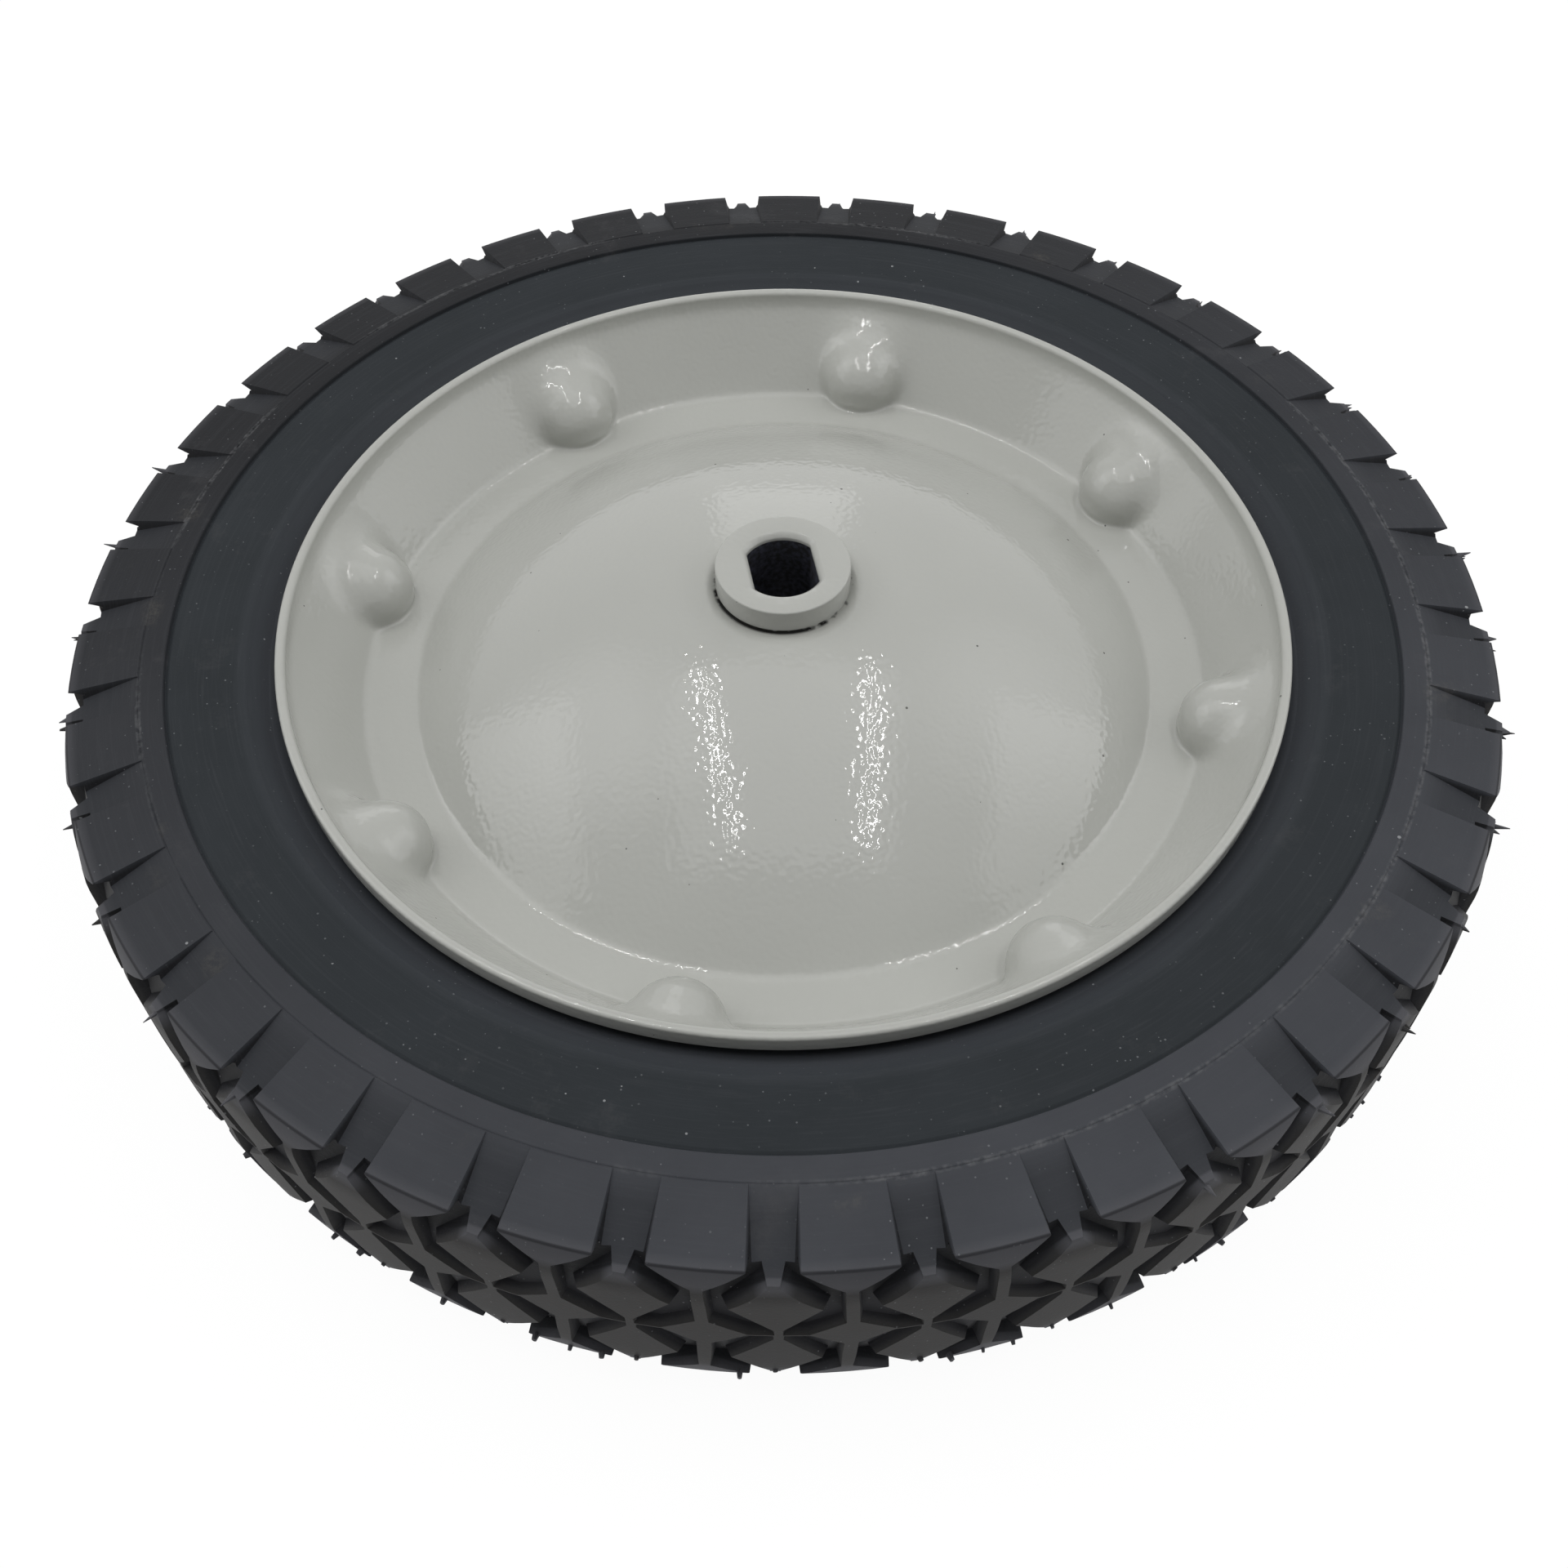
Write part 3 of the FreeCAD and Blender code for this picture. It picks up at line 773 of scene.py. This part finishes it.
def slot_cutters():
    """The two shoulder slots of one pitch, deeper and wider outwards, with drafted walls."""
    clear = 3.0
    top = TYRE_HALF_WIDTH + clear
    far = CROWN_RADIUS + clear
    block_fall = (TYRE_HALF_WIDTH - SHOULDER_HEIGHT) / (SHOULDER_RADIUS - BAND_OUTER)
    floor_fall = block_fall + (SLOT_DEPTH_OUTER - SLOT_DEPTH_INNER) / (SHOULDER_RADIUS - BAND_OUTER)
    inner = TYRE_HALF_WIDTH - SLOT_DEPTH_INNER
    profile = [(BAND_OUTER, inner), (far, inner - floor_fall * (far - BAND_OUTER)),
               (far, top), (BAND_OUTER, top)]

    def half(r, z):
        over = z - TYRE_HALF_WIDTH + block_fall * (r - BAND_OUTER)
        return SLOT_HALF + SLOT_FLARE * (r - BAND_OUTER) + SLOT_DRAFT * over

    solids = []
    for face in (1, -1):
        sides = [[(r, side * half(r, z) - TREAD_LEAN, face * z) for r, z in profile] for side in (1, -1)]
        solids.append(prism(*sides))
    return joined_mesh("slot_cutters", solids)


def evaluated(piece, name):
    """The piece's mesh with its modifiers taken in; the piece itself is removed."""
    graph = bpy.context.evaluated_depsgraph_get()
    mesh = bpy.data.meshes.new_from_object(piece.evaluated_get(graph))
    mesh.name = name
    bpy.data.objects.remove(piece)
    return mesh


def cut_pitch(rubber):
    """One pitch of the tyre with its slots and pockets cut, edges rounded and the two end faces open."""
    end_slack = 1e-5
    weld = 0.02 * MM
    sliver = 0.01 * MM
    sharpness = math.radians(35)
    edge_round = 0.3 * MM
    tread_from = (BAND_OUTER - 0.1) * MM
    pitch = new_piece("tread_pitch", wedge_mesh(tyre_section()), rubber)
    cutters = []
    for mesh in (chevron_cutters(), slot_cutters()):
        cutter = new_piece(mesh.name, mesh, rubber)
        cut = pitch.modifiers.new(mesh.name, "BOOLEAN")
        cut.operation = "DIFFERENCE"
        cut.solver = "EXACT"
        cut.object = cutter
        cutters.append(cutter)
    mesh = evaluated(pitch, "tread_pitch")
    for cutter in cutters:
        bpy.data.objects.remove(cutter)

    work = bmesh.new()
    work.from_mesh(mesh)
    half = math.pi / TREAD_COUNT
    ends = []
    for face in work.faces:
        turns = [math.atan2(v.co.y, v.co.x) for v in face.verts]
        if min(turns) > half - end_slack or max(turns) < -half + end_slack:
            ends.append(face)
    bmesh.ops.delete(work, geom=ends, context="FACES_ONLY")
    loose = [e for e in work.edges if not e.link_faces]
    bmesh.ops.delete(work, geom=loose, context="EDGES")
    bmesh.ops.remove_doubles(work, verts=work.verts, dist=weld)
    bmesh.ops.dissolve_degenerate(work, edges=work.edges, dist=sliver)
    sharp = []
    for edge in work.edges:
        if len(edge.link_faces) != 2 or edge.is_boundary:
            continue
        outside = all(math.hypot(v.co.x, v.co.y) > tread_from for v in edge.verts)
        if outside and edge.calc_face_angle(0) > sharpness:
            sharp.append(edge)
    bmesh.ops.bevel(work, geom=sharp, offset=edge_round, offset_type="OFFSET", segments=2, profile=0.5,
                    affect="EDGES", clamp_overlap=True)
    work.to_mesh(mesh)
    work.free()
    return mesh


def tread_ring_tree(rubber):
    """Geometry nodes that set one pitch round the axle and join the copies."""
    tree = bpy.data.node_groups.new("tread_ring", "GeometryNodeTree")
    tree.interface.new_socket("Pitch", in_out="INPUT", socket_type="NodeSocketGeometry")
    count = tree.interface.new_socket("Count", in_out="INPUT", socket_type="NodeSocketInt")
    phase = tree.interface.new_socket("Phase", in_out="INPUT", socket_type="NodeSocketFloat")
    tree.interface.new_socket("Tyre", in_out="OUTPUT", socket_type="NodeSocketGeometry")
    given = add(tree, "NodeGroupInput").outputs
    points = add(tree, "GeometryNodeMeshLine", {"Count": given["Count"], "Offset": (0, 0, 0)})
    number = add(tree, "GeometryNodeInputIndex").outputs[0]
    step = maths(tree, "DIVIDE", 2 * math.pi, given["Count"])
    angle = maths(tree, "MULTIPLY_ADD", number, step, given["Phase"])
    turn = add(tree, "ShaderNodeCombineXYZ", {"Z": angle})
    copies = add(tree, "GeometryNodeInstanceOnPoints", {
        "Points": points.outputs[0], "Instance": given["Pitch"], "Rotation": turn.outputs[0]})
    real = add(tree, "GeometryNodeRealizeInstances", {0: copies.outputs[0]})
    whole = add(tree, "GeometryNodeMergeByDistance", {"Geometry": real.outputs[0], "Distance": NEAR * MM})
    smooth = add(tree, "GeometryNodeSetShadeSmooth", {"Geometry": whole.outputs[0], "Shade Smooth": True})
    dressed = add(tree, "GeometryNodeSetMaterial", {"Geometry": smooth.outputs[0], "Material": rubber})
    add(tree, "NodeGroupOutput", {0: dressed.outputs[0]})
    return tree, count.identifier, phase.identifier


def nub_feet():
    """Where vent nubs stand on the lower shoulder: a seeded share of rib ends, notch corners and blocks."""
    draw = random.Random(NUB_SEED)
    half_pitch = math.pi * CROWN_RADIUS / TREAD_COUNT
    beside = NOTCH_HALF + 1.6
    stray = 0.4
    r = LOWER_SHOULDER + 0.4 - NUB_SUNK
    # Place across the pitch, distance from the parting plane, and the share of pitches with a nub there.
    spots = [(0.0, 17.2, 0.9), (beside, 20.0, 0.2), (-beside, 20.0, 0.2), (half_pitch, 20.0, 0.75)]
    feet = []
    for i in range(TREAD_COUNT):
        for across, up, share in spots:
            if draw.random() > share:
                continue
            turn = pitch_turn(i) + (leaning(across, up) + draw.uniform(-stray, stray)) / CROWN_RADIUS
            feet.append(around(r, turn, -up - draw.uniform(-2 * stray, stray)))
    return feet


def flash_feet():
    """Where torn flash stands on the upper rib ends: most on the side that has worn least."""
    draw = random.Random(NUB_SEED)
    least_worn = math.radians(10)
    most = 4
    near_share = 0.9
    far_share = 0.4
    rib_from = 15.0
    rib_to = 18.0
    r = CROWN_RADIUS - 1.2 - NUB_SUNK
    feet = []
    for i in range(TREAD_COUNT):
        kept = math.cos(pitch_turn(i) - least_worn)
        share = max(near_share * kept, -far_share * kept)
        for _ in range(most):
            if draw.random() > share:
                continue
            up = draw.uniform(rib_from, rib_to)
            turn = pitch_turn(i) + leaning(draw.uniform(-RIB_HALF, RIB_HALF), up) / CROWN_RADIUS
            feet.append(around(r, turn, up))
    return feet


def nub_tree(rubber):
    """Geometry nodes that stand a small ragged cone, a nub or a tear of flash, on every foot."""
    tree = bpy.data.node_groups.new("vent_nubs", "GeometryNodeTree")
    tree.interface.new_socket("Feet", in_out="INPUT", socket_type="NodeSocketGeometry")
    width = tree.interface.new_socket("Width", in_out="INPUT", socket_type="NodeSocketFloat")
    length = tree.interface.new_socket("Length", in_out="INPUT", socket_type="NodeSocketFloat")
    blunt = tree.interface.new_socket("Tip", in_out="INPUT", socket_type="NodeSocketFloat")
    seed = tree.interface.new_socket("Seed", in_out="INPUT", socket_type="NodeSocketInt")
    tree.interface.new_socket("Nubs", in_out="OUTPUT", socket_type="NodeSocketGeometry")
    given = add(tree, "NodeGroupInput").outputs
    foot = maths(tree, "MULTIPLY", given["Width"], 0.5)
    tip = maths(tree, "MULTIPLY", given["Width"], given["Tip"])
    cone = add(tree, "GeometryNodeMeshCone", {
        "Vertices": 6, "Radius Top": tip, "Radius Bottom": foot, "Depth": given["Length"]})
    place = add(tree, "GeometryNodeInputPosition").outputs[0]
    stray = add(tree, "FunctionNodeRandomValue", {
        0: (-0.2, -0.2, -0.3), 1: (0.2, 0.2, 0.3), "Seed": given["Seed"]}, data_type="FLOAT_VECTOR")
    outward = add(tree, "ShaderNodeVectorMath", {0: place, 1: (1, 1, 0)}, operation="MULTIPLY")
    outward = add(tree, "ShaderNodeVectorMath", {0: outward.outputs[0]}, operation="NORMALIZE")
    lean = add(tree, "ShaderNodeVectorMath", {0: outward.outputs[0], 1: stray.outputs[0]}, operation="ADD")
    turn = add(tree, "FunctionNodeAlignRotationToVector", {"Vector": lean.outputs[0]}, axis="Z")
    size = add(tree, "FunctionNodeRandomValue", {
        0: (0.5, 0.6, 0.7), 1: (0.9, 1.2, 1.2), "Seed": given["Seed"]}, data_type="FLOAT_VECTOR")
    nubs = add(tree, "GeometryNodeInstanceOnPoints", {
        "Points": given["Feet"], "Instance": cone.outputs["Mesh"], "Rotation": turn.outputs[0],
        "Scale": size.outputs[0]})
    real = add(tree, "GeometryNodeRealizeInstances", {0: nubs.outputs[0]})
    dressed = add(tree, "GeometryNodeSetMaterial", {"Geometry": real.outputs[0], "Material": rubber})
    add(tree, "NodeGroupOutput", {0: dressed.outputs[0]})
    return tree, (width.identifier, length.identifier, blunt.identifier, seed.identifier)


def stood_nubs(name, feet, tree, inputs, values, rubber):
    """A piece with a cone on every foot, made by the nodes with these values."""
    mesh = bpy.data.meshes.new(name + "_feet")
    mesh.from_pydata(feet, [], [])
    piece = new_piece(name + "_feet", mesh, rubber)
    spread = piece.modifiers.new(name, "NODES")
    spread.node_group = tree
    for socket, value in zip(inputs, values):
        spread[socket] = value
    return new_piece(name, evaluated(piece, name), rubber)


def moulded_tyre(rubber):
    """The tread ring with its nubs and flash, as one piece."""
    ring = new_piece("tread_ring", cut_pitch(rubber), rubber)
    tree, count, phase = tread_ring_tree(rubber)
    spread = ring.modifiers.new("tread_ring", "NODES")
    spread.node_group = tree
    spread[count] = TREAD_COUNT
    spread[phase] = math.radians(TREAD_PHASE)
    flats = ring.modifiers.new("flat_blocks", "WEIGHTED_NORMAL")
    flats.weight = 80
    tree, inputs = nub_tree(rubber)
    sizes = (NUB_WIDTH * MM, NUB_LENGTH * MM, NUB_TIP, NUB_SEED)
    nubs = stood_nubs("vent_nubs", nub_feet(), tree, inputs, sizes, rubber)
    sizes = (FLASH_WIDTH * MM, FLASH_LENGTH * MM, FLASH_TIP, NUB_SEED)
    flash = stood_nubs("torn_flash", flash_feet(), tree, inputs, sizes, rubber)
    piece = new_piece("moulded_tyre", evaluated(ring, "moulded_tyre"), rubber)
    with bpy.context.temp_override(active_object=piece, selected_editable_objects=[piece, nubs, flash]):
        bpy.ops.object.join()
    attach(piece, "root")
    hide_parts("tyre")


# Floor, light and camera. The photograph's own frame is turned about the axle from the part's frame.
FLATS_TURN = 10.26
photo_turn = Matrix.Rotation(math.radians(-FLATS_TURN), 4, "Z")


def studio_floor():
    """A white floor under the hub's lower end."""
    half = 4.0
    level = -HUB_HALF * MM
    corners = [(-half, -half, level), (half, -half, level), (half, half, level), (-half, half, level)]
    mesh = bpy.data.meshes.new("floor")
    mesh.from_pydata(corners, [], [(0, 1, 2, 3)])
    floor = new_piece("floor", mesh, paper_floor())


def studio_lamp(name, shape, place, aim, width, length, watts, twist=0):
    """A flat lamp in the photograph's frame, facing a point; its length lies along the line of sight."""
    data = bpy.data.lights.new(name, "AREA")
    data.shape = shape
    data.size = width
    data.size_y = length
    data.energy = watts
    lamp = bpy.data.objects.new(name, data)
    turn = (Vector(aim) - Vector(place)).to_track_quat("-Z", "Y").to_matrix().to_4x4()
    turn = turn @ Matrix.Rotation(math.radians(twist), 4, "Z")
    lamp.matrix_world = photo_turn @ Matrix.Translation(place) @ turn
    bpy.context.scene.collection.objects.link(lamp)


def studio_lamps():
    """Two strips overhead, a soft lamp on each side that is brighter towards its middle, and flat panels.

    The panels stand at the sides, behind and overhead. Each is as bright as the white background, so that
    it lights the part and does not show in the enamel.
    """
    middle = (0, 0, 0)
    strip_width = 0.008
    strip_length = 0.64
    strip_watts = 1.0
    along = 0.035
    strips = [("left_strip", -0.205, 0.86, 8), ("right_strip", 0.265, 0.84, 0)]
    for name, across, height, twist in strips:
        studio_lamp(name, "RECTANGLE", (across, along, height), (across, along, 0),
                    strip_width, strip_length, strip_watts, twist)

    soft_rings = 4
    soft_away = 0.92
    soft_width = 0.72
    soft_stretch = 1.2
    step_nearer = 0.01
    step_narrower = 0.14
    for name, bearing, rise, share in (("left_soft", 165, 50, 1.2), ("right_soft", 21, 41, 0.8)):
        flat = math.cos(math.radians(rise))
        direction = Vector((flat * math.cos(math.radians(bearing)), flat * math.sin(math.radians(bearing)),
                            math.sin(math.radians(rise))))
        for i in range(soft_rings):
            away = soft_away - step_nearer * i
            wide = soft_width - step_narrower * i
            watts = share * wide * wide
            studio_lamp(name, "ELLIPSE", direction * away, middle, wide, wide * soft_stretch, watts)

    panels = [("left_panel", (-1.0, 0, 0.5), 2.3), ("right_panel", (1.0, 0, 0.5), 2.3),
              ("back_panel", (0, 1.1, 0.5), 0.5), ("ceiling", (0, 0, 1.05), 2.4)]
    for name, place, watts in panels:
        # A flat lamp's brightness is its watts over pi times its area, here 1 as for the background.
        side = math.sqrt(watts / math.pi)
        studio_lamp(name, "SQUARE", place, middle, side, side, watts)


def studio_world():
    """A white background for what is seen, and a soft even light for the part."""
    world = bpy.data.worlds.new("studio")
    world.use_nodes = True
    tree = world.node_tree
    tree.nodes.clear()
    seen = seen_directly(tree)
    soft = add(tree, "ShaderNodeBackground", {"Color": linear("#ffffff"), "Strength": 0.17})
    white = add(tree, "ShaderNodeBackground", {"Color": linear("#ffffff"), "Strength": 1.0})
    both = add(tree, "ShaderNodeMixShader", {0: seen, 1: soft.outputs[0], 2: white.outputs[0]})
    add(tree, "ShaderNodeOutputWorld", {"Surface": both.outputs[0]})
    bpy.context.scene.world = world


def photo_camera():
    """The photograph's camera, its place in millimetres and its dip and roll in degrees."""
    back = 235.64
    rise = 267.77
    dip = 52.44
    roll = -0.30
    data = bpy.data.cameras.new("photo_camera")
    data.lens = 39.23
    data.sensor_width = 36.0
    data.clip_start = 0.01
    camera = bpy.data.objects.new("photo_camera", data)
    place = Matrix.Translation(Vector((0, -back, rise)) * MM)
    tip = Matrix.Rotation(math.radians(90 - dip), 4, "X")
    camera.matrix_world = photo_turn @ place @ tip @ Matrix.Rotation(math.radians(roll), 4, "Z")
    bpy.context.scene.collection.objects.link(camera)
    bpy.context.scene.camera = camera


enamel = stoved_enamel()
pressed_discs(enamel)
hub_tube(enamel, scaled_steel())
moulded_tyre(moulded_rubber())
studio_floor()
studio_lamps()
studio_world()
photo_camera()
bpy.context.scene.view_settings.view_transform = "Standard"
